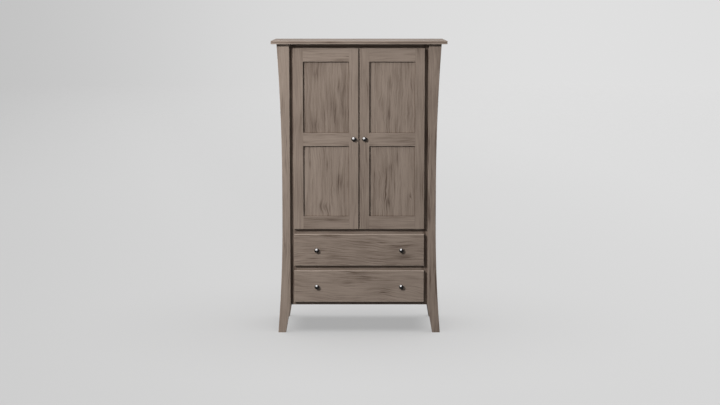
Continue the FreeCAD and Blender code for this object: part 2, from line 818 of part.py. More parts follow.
def dovetails(prefix, low, high):
    """Tails of a right-hand drawer side, wider at the end of the board than at their root."""
    pitch = (high - low) / DOVETAILS_PER_CORNER
    half_tip = size.dovetail_tip / 2
    half_root = size.dovetail_root / 2
    wall = (box_half - size.drawer_wall, box_half)
    corners = (
        ("front", (door_back, door_back + size.drawer_wall), half_tip, half_root),
        ("rear", (box_back - size.drawer_wall, box_back), half_root, half_tip),
    )
    tails = {}
    for name, depth, near_half, far_half in corners:
        tails[name] = []
        for number in range(DOVETAILS_PER_CORNER):
            centre = low + pitch * number + pitch / 2
            tail = doc.addObject("Part::Wedge", f"{prefix}_{name}_tail_{number + 1}")
            bounds = {
                "Xmin": wall[0],
                "Xmax": wall[1],
                "X2min": wall[0],
                "X2max": wall[1],
                "Ymin": depth[0],
                "Ymax": depth[1],
                "Zmin": centre - near_half,
                "Zmax": centre + near_half,
                "Z2min": centre - far_half,
                "Z2max": centre + far_half,
            }
            for name_of, length in bounds.items():
                tail.setExpression(name_of, length.text)
            tails[name].append(tail)
    return tails


def make_drawer(prefix, front_level):
    levels = (front_level, front_level + size.drawer_front_height)
    knob_level = (levels[0] + levels[1]) / 2 - size.drawer_knob_drop
    low, high, line = drawer_levels(front_level)
    blank = box(f"{prefix}_front_blank", (-door_edge, door_edge), (front, door_back), levels)
    rounded = round_over(f"{prefix}_front_round", blank, size.front_round, front_edge)

    # knobs stand at equal distances from the middle, on screws whose heads sit in the box end
    knob_at = (("right", size.drawer_knob_distance), ("left", -size.drawer_knob_distance))
    holes = [knob_hole(f"{prefix}_{side}_knob_hole", x, knob_level) for side, x in knob_at]
    knobs = [knob(f"{prefix}_{side}_knob", x, knob_level) for side, x in knob_at]
    screws = [knob_screw(f"{prefix}_{side}_screw", x, knob_level) for side, x in knob_at]

    # box with through dovetails at its four corners, and a bottom in a groove
    tails = dovetails(prefix, low, high)
    core = box(
        f"{prefix}_side_core",
        (box_half - size.drawer_wall, box_half),
        (door_back + size.drawer_wall, box_back - size.drawer_wall),
        (low, high),
    )
    side_blank = fuse(f"{prefix}_side_blank", [core] + tails["front"] + tails["rear"])
    bottom_low = low + size.drawer_bottom_rise
    bottom_z = (bottom_low, bottom_low + size.drawer_bottom_thickness)
    reach = size.drawer_wall - size.drawer_groove
    half_bottom = box_half - reach
    bottom_y = (door_back + reach, box_back - reach)
    bottom = box(f"{prefix}_box_bottom", (-half_bottom, half_bottom), bottom_y, bottom_z)
    side = cut(f"{prefix}_right_side", side_blank, [bottom])
    ends = []
    for name, depth in (
        ("front", (door_back, door_back + size.drawer_wall)),
        ("rear", (box_back - size.drawer_wall, box_back)),
    ):
        end_blank = box(f"{prefix}_{name}_end_blank", (-box_half, box_half), depth, (low, high))
        twins = [mirror(f"{tail.Name}_twin", tail) for tail in tails[name]]
        room = [bottom] + tails[name] + twins
        if name == "front":
            head_radius = size.screw_head_radius + size.screw_clearance
            for hand, x in knob_at:
                room.append(rod_along_y(f"{prefix}_{hand}_screw_room", head_radius, x, depth, knob_level))
        ends.append(cut(f"{prefix}_{name}_end", end_blank, room))

    cabinet, middle, runner = slide_members(prefix, line)
    nodes = [
        cut(f"{prefix}_front", rounded, holes),
        both_sides(f"{prefix}_box_sides", [side]),
        group(f"{prefix}_box_ends", ends),
        bottom,
        group(f"{prefix}_knobs", knobs),
        group(f"{prefix}_knob_screws", screws),
        both_sides(f"{prefix}_slide_runners", [runner]),
        both_sides(f"{prefix}_slide_middles", [middle]),
    ]
    return nodes, cabinet


def make_drawers():
    nodes = []
    cabinets = []
    for prefix, front_level in (("lower_drawer", lower_front), ("upper_drawer", upper_front)):
        drawer_nodes, cabinet = make_drawer(prefix, front_level)
        nodes += drawer_nodes
        cabinets.append(cabinet)
    return nodes + [both_sides("slide_cabinet_members", cabinets)]


nodes = (
    make_top()
    + make_posts()
    + make_sides()
    + make_face_frame()
    + make_back()
    + make_boards()
    + make_cleats()
    + make_doors()
    + make_door_fittings()
    + make_drawers()
)
doc.recompute()

failed = [item.Label for item in doc.Objects if {"Invalid", "Error"} & set(item.State)]
failed += [node.Label for node in nodes if node.Shape.isNull() or not node.Shape.isValid()]
if failed:
    raise RuntimeError(f"failed objects: {failed}")

os.makedirs("parts", exist_ok=True)
for node in nodes:
    node.Shape.exportStep(f"parts/{node.Label}.step")
    print(node.Label, len(node.Shape.Solids), round(node.Shape.Volume))
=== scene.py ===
import json
import math
from typing import NamedTuple
import bmesh
import bpy
from mathutils import Matrix, Vector


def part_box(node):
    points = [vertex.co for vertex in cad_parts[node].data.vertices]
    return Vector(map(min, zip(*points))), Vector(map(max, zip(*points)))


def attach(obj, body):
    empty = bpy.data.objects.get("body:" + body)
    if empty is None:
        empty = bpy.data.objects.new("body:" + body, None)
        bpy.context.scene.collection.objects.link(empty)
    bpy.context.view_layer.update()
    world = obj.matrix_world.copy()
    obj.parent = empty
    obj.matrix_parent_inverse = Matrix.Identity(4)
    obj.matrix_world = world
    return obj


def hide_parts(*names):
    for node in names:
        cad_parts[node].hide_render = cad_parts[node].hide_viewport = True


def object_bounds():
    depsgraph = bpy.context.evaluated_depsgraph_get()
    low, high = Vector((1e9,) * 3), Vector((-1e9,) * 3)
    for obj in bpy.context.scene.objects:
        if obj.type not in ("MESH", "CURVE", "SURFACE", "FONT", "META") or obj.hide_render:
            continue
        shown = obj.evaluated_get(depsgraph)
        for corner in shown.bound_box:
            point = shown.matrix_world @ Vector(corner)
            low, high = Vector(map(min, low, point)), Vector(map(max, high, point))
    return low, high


# TV armoire in grey-brown stained wood: finishes, small fittings, light and camera. Metres.
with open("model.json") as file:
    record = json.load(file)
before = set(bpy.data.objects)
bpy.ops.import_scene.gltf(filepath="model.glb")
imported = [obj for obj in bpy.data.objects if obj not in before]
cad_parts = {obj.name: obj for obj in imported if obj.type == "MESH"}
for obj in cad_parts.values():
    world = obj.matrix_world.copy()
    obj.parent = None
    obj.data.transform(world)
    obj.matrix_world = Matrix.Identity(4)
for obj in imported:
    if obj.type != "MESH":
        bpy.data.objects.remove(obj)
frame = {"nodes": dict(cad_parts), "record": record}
cad_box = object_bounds()
body_of = {node: body for body, nodes in frame["record"]["behaviour"]["bodies"].items() for node in nodes}

AXES = {"X": Vector((1, 0, 0)), "Y": Vector((0, 1, 0)), "Z": Vector((0, 0, 1))}
TO_FRONT = -AXES["Y"]
TO_BACK = AXES["Y"]
DOORS = ((-1, "left_door"), (1, "right_door"))
DRAWERS = ("upper_drawer", "lower_drawer")


# Shader maths
class Signal:
    """An output of a shader node. Python's operators on it add Math nodes."""

    def __init__(self, shader, socket):
        self.shader = shader
        self.socket = socket

    def output(self, name):
        """Another output of the same node."""
        return Signal(self.shader, self.socket.node.outputs[name])

    def __add__(self, other):
        return self.shader.math("ADD", self, other)

    def __radd__(self, other):
        return self.shader.math("ADD", other, self)

    def __sub__(self, other):
        return self.shader.math("SUBTRACT", self, other)

    def __rsub__(self, other):
        return self.shader.math("SUBTRACT", other, self)

    def __mul__(self, other):
        return self.shader.math("MULTIPLY", self, other)

    def __rmul__(self, other):
        return self.shader.math("MULTIPLY", other, self)

    def __truediv__(self, other):
        return self.shader.math("DIVIDE", self, other)

    def __rtruediv__(self, other):
        return self.shader.math("DIVIDE", other, self)

    def __abs__(self):
        return self.shader.math("ABSOLUTE", self)


class Shader:
    """A node tree, with one way to add a node to it."""

    def __init__(self, tree):
        self.tree = tree
        tree.nodes.clear()

    def add(self, kind, settings=None, sockets=None, out=0):
        """Adds a node with its settings and the values or links of its sockets, and gives one output."""
        node = self.tree.nodes.new(kind)
        for name, value in (settings or {}).items():
            if name == "stops":
                set_stops(node.color_ramp, value)
            elif name == "between_stops":
                node.color_ramp.interpolation = value
            else:
                setattr(node, name, value)
        for name, value in (sockets or {}).items():
            if isinstance(value, Signal):
                self.tree.links.new(value.socket, node.inputs[name])
            else:
                node.inputs[name].default_value = value
        return Signal(self, node.outputs[out]) if node.outputs else None

    def math(self, operation, *terms):
        return self.add("ShaderNodeMath", {"operation": operation}, dict(enumerate(terms)))

    def place(self):
        return self.add("ShaderNodeTexCoord", out="Object")

    def parts(self, vector):
        """The x, y and z of a vector."""
        x = self.add("ShaderNodeSeparateXYZ", None, {"Vector": vector}, "X")
        return x, x.output("Y"), x.output("Z")

    def vector(self, x, y, z):
        return self.add("ShaderNodeCombineXYZ", None, {"X": x, "Y": y, "Z": z})

    def noise(self, vector, scale, detail=2.0, roughness=0.5):
        sockets = {"Vector": vector, "Scale": scale, "Detail": detail, "Roughness": roughness}
        return self.add("ShaderNodeTexNoise", None, sockets, "Fac")

    def ramp(self, amount, stops, between="LINEAR"):
        settings = {"stops": stops, "between_stops": between}
        return self.add("ShaderNodeValToRGB", settings, {"Fac": amount}, "Color")

    def clouded(self, noise, dark, light):
        """Two close colours mixed by noise, most of which lies between these stops."""
        return self.ramp(noise, [(0.3, dark), (0.7, light)])

    def unit(self, value):
        """A value held between zero and one."""
        return self.add("ShaderNodeClamp", None, {"Value": value})

    def bump(self, height, depth, strength):
        sockets = {"Height": height, "Distance": depth, "Strength": strength}
        return self.add("ShaderNodeBump", None, sockets, "Normal")


class Finish(Shader):
    """A material of one piece."""

    def __init__(self, name):
        self.material = bpy.data.materials.new(name)
        self.material.use_nodes = True
        super().__init__(self.material.node_tree)

    def surface(self, sockets):
        shader = self.add("ShaderNodeBsdfPrincipled", None, sockets)
        self.add("ShaderNodeOutputMaterial", None, {"Surface": shader})
        return self.material


def set_stops(ramp, stops):
    """Gives a colour ramp its stops, each a position and a colour."""
    while len(ramp.elements) < len(stops):
        ramp.elements.new(1.0)
    for element, (position, colour) in zip(ramp.elements, stops):
        element.position = position
        element.color = colour


def srgb(red, green, blue):
    """A colour as it is read off a screen, 0 to 255, made linear."""
    channels = [value / 255 for value in (red, green, blue)]
    linear = [c / 12.92 if c <= 0.04045 else ((c + 0.055) / 1.055) ** 2.4 for c in channels]
    return (*linear, 1.0)


def grey(value):
    return srgb(value, value, value)


def swing(noise, amount):
    """Noise from zero to one, made to swing about zero by an amount."""
    return (noise - 0.5) * amount


# Wood
class Stain(NamedTuple):
    """The tones of a stained or lacquered wood, the strength of its figure, and its roughness."""

    dark: tuple
    middle: tuple
    light: tuple
    figure: float
    roughness: float


class Cut(NamedTuple):
    """How the boards whose names have one of these endings are sawn and finished."""

    endings: tuple
    depth: str  # axis through the thickness
    grain: str  # axis along the grain
    stave: float  # width of the staves that are glued edge to edge
    heart: float  # distance of a stave from the heart of its log
    slant: float = 0.0  # how far the grain runs off the length of the board
    wander: float = 0.05  # slow sway of the grain
    ripple: float = 0.006  # quick sway of the grain
    lines: float = 120.0  # fineness of the dark wisps
    figure: float = 1.0  # strength of the dark wisps
    streaks: float = 0.6  # strength of the soft streaks between them
    wear_and_highlight: float = 0.0  # how pale the long edges are: stain rubbed thin, and a painted highlight where light catches them
    painted_frame_shade: bool = False  # painted shade darkens the board along the frame that holds it
    twinned: bool = False  # the node has one board on each side of the armoire

    @property
    def across(self):
        return next(axis for axis in AXES if axis not in (self.depth, self.grain))


class Flaw(NamedTuple):
    """A place, from the middle of a board, where streaks gather and the grain swells by a bend."""

    across: float
    along: float
    half_width: float
    half_length: float
    bend: float = 0.0
    shade: float = 1.0


class Layer(NamedTuple):
    """Noise in a board, drawn out along the grain by its squeeze. Spots are what is over its level."""

    squeeze: float
    scale: float
    detail: float = 2.0
    level: float = 0.0
    contrast: float = 1.0


CASE_STAIN = Stain(srgb(84, 70, 61), srgb(137, 123, 112), srgb(160, 146, 135), figure=1.0, roughness=0.46)
INNER_STAIN = Stain(srgb(80, 67, 58), srgb(124, 110, 99), srgb(146, 132, 121), figure=0.8, roughness=0.6)
MAPLE = Stain(srgb(172, 138, 100), srgb(207, 177, 137), srgb(222, 195, 157), figure=0.7, roughness=0.42)
STAINS = {"stained_wood": CASE_STAIN, "inner_wood": INNER_STAIN, "drawer_wood": MAPLE}

# a board takes the first of these that fits its name
CUTS = (
    Cut(("door_hinge_stile", "door_meeting_stile"), "Y", "Z", stave=0.3, heart=0.2, figure=0.8),
    Cut(("_post", "_stiles"), "Y", "Z", stave=0.3, heart=0.16, figure=1.7),
    Cut(("side_rails", "case_cleats"), "X", "Y", stave=0.3, heart=0.16, figure=0.8, twinned=True),
    Cut(("side_panels",), "X", "Z", stave=0.15, heart=0.22, ripple=0.02, twinned=True),
    Cut(("_box_sides",), "X", "Y", stave=0.2, heart=0.15, twinned=True),
    Cut(("upper_panel", "lower_panel"), "Y", "Z", stave=0.16, heart=0.26, ripple=0.02, painted_frame_shade=True),
    Cut(("back_panel",), "Y", "Z", stave=0.16, heart=0.26, ripple=0.02),
    Cut(("_rail", "_rails", "_box_ends"), "Y", "X", stave=0.3, heart=0.2),
    Cut(
        ("drawer_front",), "Y", "X", stave=0.3, heart=0.24, slant=-0.06, wander=0.08, ripple=0.01,
        lines=165.0, figure=1.1, streaks=0.85, wear_and_highlight=0.8,
    ),
    Cut(("top_board",), "Z", "X", stave=0.14, heart=0.2, wear_and_highlight=0.9),
    Cut(("tv_deck", "bottom_board", "media_shelf", "_box_bottom"), "Z", "X", stave=0.14, heart=0.12),
)

# dark places of the boards in front: across, along, half width and half length of each
FLAWS = {
    "left_door_upper_panel": (
        Flaw(-0.058, -0.18, 0.02, 0.05, bend=0.014),
        Flaw(0.08, 0.074, 0.008, 0.045),
        Flaw(0.043, -0.05, 0.015, 0.06),
        Flaw(-0.062, 0.14, 0.012, 0.05),
    ),
    "left_door_lower_panel": (
        Flaw(0.083, 0.0, 0.022, 0.06, bend=0.008),
        Flaw(-0.024, -0.16, 0.025, 0.035, bend=0.014),
        Flaw(-0.1, 0.107, 0.006, 0.025),
    ),
    "right_door_upper_panel": (
        Flaw(-0.013, 0.084, 0.011, 0.045, bend=0.004),
        Flaw(-0.018, -0.102, 0.012, 0.05),
        Flaw(-0.07, -0.016, 0.015, 0.08),
    ),
    "right_door_lower_panel": (
        Flaw(-0.026, -0.134, 0.014, 0.035, bend=0.006),
        Flaw(0.11, -0.098, 0.008, 0.025, bend=0.008),
        Flaw(0.034, 0.139, 0.008, 0.06),
        Flaw(-0.018, 0.078, 0.012, 0.04),
    ),
    "left_door_bottom_rail": (Flaw(-0.02, 0.035, 0.01, 0.06, bend=0.004),),
    "upper_drawer_front": (
        Flaw(0.047, -0.162, 0.014, 0.06),
        Flaw(0.047, 0.28, 0.012, 0.06),
        Flaw(-0.09, -0.18, 0.008, 0.06),
    ),
    "lower_drawer_front": (
        Flaw(-0.085, 0.0, 0.012, 0.1),
        Flaw(-0.053, 0.03, 0.012, 0.07),
        Flaw(-0.057, 0.34, 0.01, 0.05),
        Flaw(0.017, 0.147, 0.03, 0.06, bend=0.014, shade=0.25),
    ),
}

# boards lighter or darker than the rest: partly their own tone, partly painted light and shade, as on the
# lighter top rails, the darker bottom rails and the face stiles
LIFTS = {
    "front_left_post": 0.1,
    "front_right_post": -0.04,
    "left_door_top_rail": 0.05,
    "right_door_top_rail": 0.05,
    "left_door_bottom_rail": -0.09,
    "right_door_bottom_rail": -0.06,
    "left_door_upper_panel": -0.11,
    "left_door_hinge_stile": -0.05,
    "right_door_meeting_stile": -0.09,
    "top_board": -0.18,
    "upper_drawer_front": -0.04,
    # painted shade: the face stiles show only as shadowed strips beside the doors and drawers
    "face_stiles": -0.2,
}

DRIFT = Layer(squeeze=0.35, scale=6.0)
RIPPLE = Layer(squeeze=1.0, scale=14.0)
PATCHES = Layer(squeeze=0.3, scale=13.0, level=0.4, contrast=3.0)
UNEVEN = Layer(squeeze=0.3, scale=11.0)
FIBRE = Layer(squeeze=0.02, scale=650.0)
PORES = Layer(squeeze=0.025, scale=1900.0, detail=1.0, level=0.58, contrast=6.0)

# steps in the noise, so that no two boards, twins or staves are alike
BOARD_STEP, TWIN_STEP, STAVE_STEP = 1.37, 3.7, 2.3
# the pith lies under the face of a board, and shifts from stave to stave
PITH_DEPTH, PITH_DEPTH_SPREAD, PITH_SLOPE = 0.05, 0.05, 0.04
STAVE_SPREAD = 0.6
# wisps show where the lines of the rings are under a level; streaks are a little finer
WISP_SQUEEZE, WISP_LEVEL, WISP_CONTRAST = 0.034, 0.52, 4.5
STREAK_SQUEEZE, STREAK_FINENESS = 0.03, 1.25
# how far each mark shifts the tone of the wood, which runs from 0, dark, to 1, light
PLAIN_TONE = 0.5
WISP_SHADE, PATCH_WISP_SHADE, FLAW_WISP_SHADE = 0.06, 0.4, 0.3
FLAW_SHADE, PORE_SHADE = 0.16, 0.16
FIBRE_SWING, UNEVEN_SWING, STAVE_SWING = 0.2, 0.4, 0.08
# worn edges with a painted highlight, and painted shade beside the frame of a panel, whose rim is hidden
# in a groove
WEAR_AND_HIGHLIGHT_REACH = 0.006
FRAME_SHADE_REACH, PAINTED_FRAME_SHADE = 0.005, -0.35
PANEL_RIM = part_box("left_door_bottom_rail")[1].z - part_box("left_door_lower_panel")[0].z


def board_place(finish, centre, cut):
    """Object coordinates turned so that x runs across a board, y through it and z along its grain."""
    turn = Matrix((AXES[cut.across], AXES[cut.depth], AXES[cut.grain]))
    if turn.determinant() < 0:
        turn[0] = -turn[0]
    sockets = {"Vector": finish.place(), "Location": -(turn @ centre), "Rotation": turn.to_euler()}
    return finish.add("ShaderNodeMapping", None, sockets)


def nearness(finish, x, z, flaw):
    """One at the middle of a flaw, falling away round it."""
    across = (x - flaw.across) / flaw.half_width
    along = (z - flaw.along) / flaw.half_length
    return finish.math("EXPONENT", (across * across + along * along) * -1)


def edge_shade(finish, cut, size, x, y, z):
    """Paler on the long edges of a board, worn and with a painted highlight, or darker along the frame
    round a panel, a painted shade in the corner of its recess.
    """
    half_across, half_depth, half_along = [
        size.dot(AXES[axis]) / 2 for axis in (cut.across, cut.depth, cut.grain)
    ]
    # wear and painted highlight: the long edges are made paler
    if cut.wear_and_highlight:
        inside = finish.math("MAXIMUM", half_across - abs(x), half_depth - abs(y))
        return finish.unit((WEAR_AND_HIGHLIGHT_REACH - inside) / WEAR_AND_HIGHLIGHT_REACH) * cut.wear_and_highlight
    # painted shade: the panel is darker in the corner of the recess where it meets its frame
    if cut.painted_frame_shade:
        beside_stile = half_across - PANEL_RIM - abs(x)
        beside_rail = half_along - PANEL_RIM - abs(z)
        inside = finish.math("MINIMUM", beside_stile, beside_rail)
        return finish.unit((FRAME_SHADE_REACH - inside) / FRAME_SHADE_REACH) * PAINTED_FRAME_SHADE
    return 0.0


def wood(name, stain, box, cut, seed, flaws=(), lift=0.0):
    """Sawn wood: lines cut from growth rings round a pith, with dark streaks gathered in patches."""
    low, high = box
    finish = Finish(name)
    x, y, z = finish.parts(board_place(finish, (low + high) / 2, cut))
    edges = edge_shade(finish, cut, high - low, x, y, z)
    shift = seed
    if cut.twinned:
        shift = finish.math("SIGN", y) * TWIN_STEP + seed
        y = abs(y) - high.dot(AXES[cut.depth])

    def layer(kind):
        return finish.noise(finish.vector(x, y + shift, z * kind.squeeze), kind.scale, kind.detail)

    def spots(kind):
        return finish.unit((layer(kind) - kind.level) * kind.contrast)

    # staves glued edge to edge, each from another place in the log
    stave_number = finish.math("ROUND", x / cut.stave)
    chance_sockets = {"W": stave_number + seed}
    chance = finish.add("ShaderNodeTexWhiteNoise", {"noise_dimensions": "1D"}, chance_sockets, "Color")
    chance_across, chance_depth, chance_tone = finish.parts(chance)
    from_pith = (
        x
        - stave_number * cut.stave
        + cut.heart
        + z * cut.slant
        + swing(layer(RIPPLE), cut.ripple)
        + swing(chance_across, cut.stave * STAVE_SPREAD)
        + swing(layer(DRIFT), cut.wander)
    )
    under_pith = y + PITH_DEPTH + chance_depth * PITH_DEPTH_SPREAD + z * PITH_SLOPE
    rings = finish.math("SQRT", from_pith * from_pith + under_pith * under_pith)
    flawed = 0.0
    for flaw in flaws:
        near = nearness(finish, x, z, flaw)
        rings = rings + near * flaw.bend
        flawed = flawed + near * flaw.shade

    # wisps and streaks follow the rings; fibres run along the grain; the stain takes unevenly
    wisp_place = finish.vector(rings, stave_number * STAVE_STEP + shift, z * WISP_SQUEEZE)
    wisp_lines = finish.noise(wisp_place, cut.lines, detail=3.0, roughness=0.6)
    wisps = finish.unit((WISP_LEVEL - wisp_lines) * WISP_CONTRAST)
    streak_place = finish.vector(rings, shift, z * STREAK_SQUEEZE)
    streaks = finish.noise(streak_place, cut.lines * STREAK_FINENESS)
    wisp_shade = spots(PATCHES) * PATCH_WISP_SHADE + WISP_SHADE + flawed * FLAW_WISP_SHADE
    fibre = layer(FIBRE)
    pores = spots(PORES)
    tone = (
        (PLAIN_TONE + lift)
        - wisps * wisp_shade * (stain.figure * cut.figure)
        - flawed * FLAW_SHADE
        - pores * PORE_SHADE
        + swing(streaks, cut.streaks * stain.figure)
        + swing(fibre, FIBRE_SWING)
        + swing(layer(UNEVEN), UNEVEN_SWING)
        + swing(chance_tone, STAVE_SWING)
        # painted highlight on worn edges, and painted shade along the frame of a panel
        + edges
    )
    tones = [(0.0, stain.dark), (PLAIN_TONE, stain.middle), (1.0, stain.light)]
    relief = fibre * 0.6 - wisps * 0.4 - pores * 0.5
    return finish.surface(
        {
            "Base Color": finish.ramp(tone, tones),
            "Roughness": wisps * 0.08 + swing(fibre, 0.2) + stain.roughness,
            "Specular IOR Level": 0.12,
            "Normal": finish.bump(relief, depth=0.0005, strength=0.3),
        }
    )


def slot_nodes(slot):
    """The nodes that take their finish from a material slot of the record."""
    return [part["node"] for part in frame["record"]["subparts"] if part["material_slot"] == slot]


def paint(piece, material):
    piece.data.materials.clear()
    piece.data.materials.append(material)


def finish_wood():
    for slot, stain in STAINS.items():
        for number, node in enumerate(sorted(slot_nodes(slot)), start=1):
            cut = next(cut for cut in CUTS if node.endswith(cut.endings))
            flaws, lift = FLAWS.get(node, ()), LIFTS.get(node, 0.0)
            material = wood(f"{node}_wood", stain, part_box(node), cut, BOARD_STEP * number, flaws, lift)
            paint(frame["nodes"][node], material)


# Metal and plastic
def dark_nickel():
    finish = Finish("dark_nickel")
    place = finish.place()
    cloud = finish.noise(place, scale=180.0, detail=3.0)
    scratches = finish.noise(place, scale=2600.0)
    return finish.surface(
        {
            "Base Color": finish.clouded(cloud, srgb(36, 36, 36), srgb(43, 42, 42)),
            "Metallic": 1.0,
            "Roughness": cloud * 0.06 + scratches * 0.04 + 0.17,
            "Normal": finish.bump(scratches, depth=0.00005, strength=0.15),
        }
    )


def zinc():
    finish = Finish("zinc_plate")
    place = finish.place()
    x, y, z = finish.parts(place)
    rolled_out = 0.02
    cloud = finish.noise(place, scale=240.0, detail=3.0)
    rolled = finish.noise(finish.vector(x, y * rolled_out, z), scale=1400.0)
    return finish.surface(
        {
            "Base Color": finish.clouded(cloud, srgb(172, 174, 176), srgb(194, 196, 197)),
            "Metallic": 1.0,
            "Roughness": cloud * 0.1 + rolled * 0.15 + 0.22,
            "Normal": finish.bump(rolled, depth=0.00008, strength=0.3),
        }
    )


def brown_plastic():
    finish = Finish("brown_plastic")
    grain = finish.noise(finish.place(), scale=1800.0)
    return finish.surface(
        {
            "Base Color": finish.clouded(grain, srgb(62, 47, 38), srgb(74, 58, 47)),
            "Roughness": grain * 0.15 + 0.4,
            "Normal": finish.bump(grain, depth=0.0001, strength=0.3),
        }
    )


def finish_fittings():
    materials = {"knob_metal": dark_nickel(), "hardware_steel": zinc(), "catch_plastic": brown_plastic()}
    for slot, material in materials.items():
        for node in slot_nodes(slot):
            paint(frame["nodes"][node], material)
    return materials


# Modelled pieces
SHARP_ANGLE = math.radians(40)
SAME_POINT = 1e-6
ON_PLANE = 1e-7


def add_piece(name, shape, body, slot, replaced=()):
    """Turns a bmesh into a smooth piece that moves with a body."""
    bmesh.ops.recalc_face_normals(shape, faces=shape.faces)
    mesh = bpy.data.meshes.new(name)
    shape.to_mesh(mesh)
    shape.free()
    mesh.shade_smooth()
    mesh.set_sharp_from_angle(angle=SHARP_ANGLE)
    piece = bpy.data.objects.new(name, mesh)
    bpy.context.scene.collection.objects.link(piece)
    paint(piece, fitting_finishes[slot])
    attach(piece, body)
    if replaced:
        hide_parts(*replaced)
    return piece


def copies(pattern, places):
    """One bmesh with a copy of a pattern at each place, which is a matrix."""
    mesh = bpy.data.meshes.new("pattern")
    pattern.to_mesh(mesh)
    pattern.free()
    whole = bmesh.new()
    for place in places:
        whole.verts.ensure_lookup_table()
        first = len(whole.verts)
        whole.from_mesh(mesh)
        whole.verts.ensure_lookup_table()
        bmesh.ops.transform(whole, matrix=place, verts=whole.verts[first:])
    bpy.data.meshes.remove(mesh)
    return whole


def seat(point, facing):
    """Puts a pattern that stands on its own floor onto a point, with its top turned to a direction."""
    return Matrix.Translation(point) @ Vector(facing).to_track_quat("Z", "Y").to_matrix().to_4x4()


def seats_in(node, radius, y, facing):
    """Seats at a depth for the one round piece of a node, or for the two where its name is a plural."""
    low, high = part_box(node)
    columns = [low.x + radius]
    if node.endswith("s"):
        columns.append(high.x - radius)
    return [seat((x, y, (low.z + high.z) / 2), facing) for x in columns]


def turned(outline, rounding, steps):
    """Spins an outline of (radius, height) round the upright axis, with the corners in rounding eased."""
    shape = bmesh.new()
    verts = [shape.verts.new((radius, 0, height)) for radius, height in outline]
    for pair in zip(verts, verts[1:]):
        shape.edges.new(pair)
    for corner, ease in rounding.items():
        bmesh.ops.bevel(
            shape, geom=[verts[corner]], offset=ease, offset_type="OFFSET", affect="VERTICES",
            segments=4, profile=0.5, material=-1,
        )
    geometry = shape.verts[:] + shape.edges[:]
    bmesh.ops.spin(
        shape, geom=geometry, cent=(0, 0, 0), axis=(0, 0, 1), dvec=(0, 0, 0), angle=math.tau, steps=steps,
        use_merge=True,
    )
    bmesh.ops.remove_doubles(shape, verts=shape.verts, dist=SAME_POINT)
    return shape


KNOB_RADIUS = 0.0143
KNOB_LENGTH = 0.0185


def turned_knob():
    """A mushroom knob: foot, neck and domed cap, bored for its screw."""
    bore_radius, bore_depth = 0.00205, 0.01
    foot_radius, foot_height = 0.007, 0.0015
    neck_radius, neck_start, neck_end = 0.005, 0.003, 0.005
    rim_start, rim_end = 0.0095, 0.0115
    dome_rise = KNOB_LENGTH - rim_end
    dome_steps = 12
    ball_radius = (KNOB_RADIUS**2 + dome_rise**2) / (2 * dome_rise)
    half_angle = math.asin(KNOB_RADIUS / ball_radius)
    outline = [
        (0, bore_depth),
        (bore_radius, bore_depth),
        (bore_radius, 0),
        (foot_radius, 0),
        (foot_radius, foot_height),
        (neck_radius, neck_start),
        (neck_radius, neck_end),
        (KNOB_RADIUS, rim_start),
    ]
    for step in range(dome_steps, -1, -1):
        angle = half_angle * step / dome_steps
        drop = ball_radius * (1 - math.cos(angle))
        outline.append((ball_radius * math.sin(angle), KNOB_LENGTH - drop))
    foot_edge, neck_foot, neck_top, rim_back, rim_front = 4, 5, 6, 7, 8
    rounding = {foot_edge: 0.0005, neck_foot: 0.0008, neck_top: 0.0012, rim_back: 0.001, rim_front: 0.0007}
    return turned(outline, rounding, steps=48)


def make_knobs():
    knobs = []
    for node in slot_nodes("knob_metal"):
        door_or_drawer_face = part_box(node)[1].y
        places = seats_in(node, KNOB_RADIUS, door_or_drawer_face, TO_FRONT)
        knob = copies(turned_knob(), places)
        knobs.append(add_piece(f"turned_{node}", knob, body_of[node], "knob_metal", [node]))
    return knobs


def screw_head(radius, height):
    """A low round head with a cross recess, standing on its own floor."""
    crown, land = height * 0.6, radius * 0.15
    slot_half, slot_draft, slot_depth = 0.0005, 0.0001, height * 0.5
    shape = bmesh.new()
    bmesh.ops.create_cone(
        shape, cap_ends=True, cap_tris=False, segments=20, radius1=radius, radius2=radius, depth=height,
        matrix=Matrix.Translation((0, 0, height / 2)),
    )
    top = max(shape.faces, key=lambda face: face.calc_center_median().z)
    bmesh.ops.bevel(
        shape, geom=top.edges[:], offset=crown, offset_type="OFFSET", affect="EDGES", segments=3,
        profile=0.5, material=-1,
    )
    top = max(shape.faces, key=lambda face: face.calc_center_median().z)
    bmesh.ops.inset_individual(shape, faces=[top], thickness=land)
    recess = [top, *top.edges, *top.verts]
    for normal in (AXES["X"], AXES["Y"]):
        for side in (-slot_half, slot_half):
            cut = bmesh.ops.bisect_plane(
                shape, geom=recess, dist=ON_PLANE, plane_co=normal * side, plane_no=normal
            )
            recess = cut["geom"]
    cross = []
    for face in recess:
        if isinstance(face, bmesh.types.BMFace):
            middle = face.calc_center_median()
            if min(abs(middle.x), abs(middle.y)) < slot_half:
                cross.append(face)
    bmesh.ops.inset_region(shape, faces=cross, thickness=slot_draft, depth=-slot_depth)
    return shape


def add_shank(screw, head_radius, shank_radius, length):
    """Draws the shank out of the underside of a screw's head."""
    underside = min(screw.faces, key=lambda face: face.calc_center_median().z)
    bmesh.ops.inset_individual(screw, faces=[underside], thickness=head_radius - shank_radius)
    tip = bmesh.ops.extrude_discrete_faces(screw, faces=[underside])["faces"][0]
    bmesh.ops.translate(screw, vec=(0, 0, -length), verts=tip.verts)
    tip_round = shank_radius * 0.3
    bmesh.ops.bevel(
        screw, geom=tip.edges[:], offset=tip_round, offset_type="OFFSET", affect="EDGES", segments=2,
        profile=0.5, material=-1,
    )


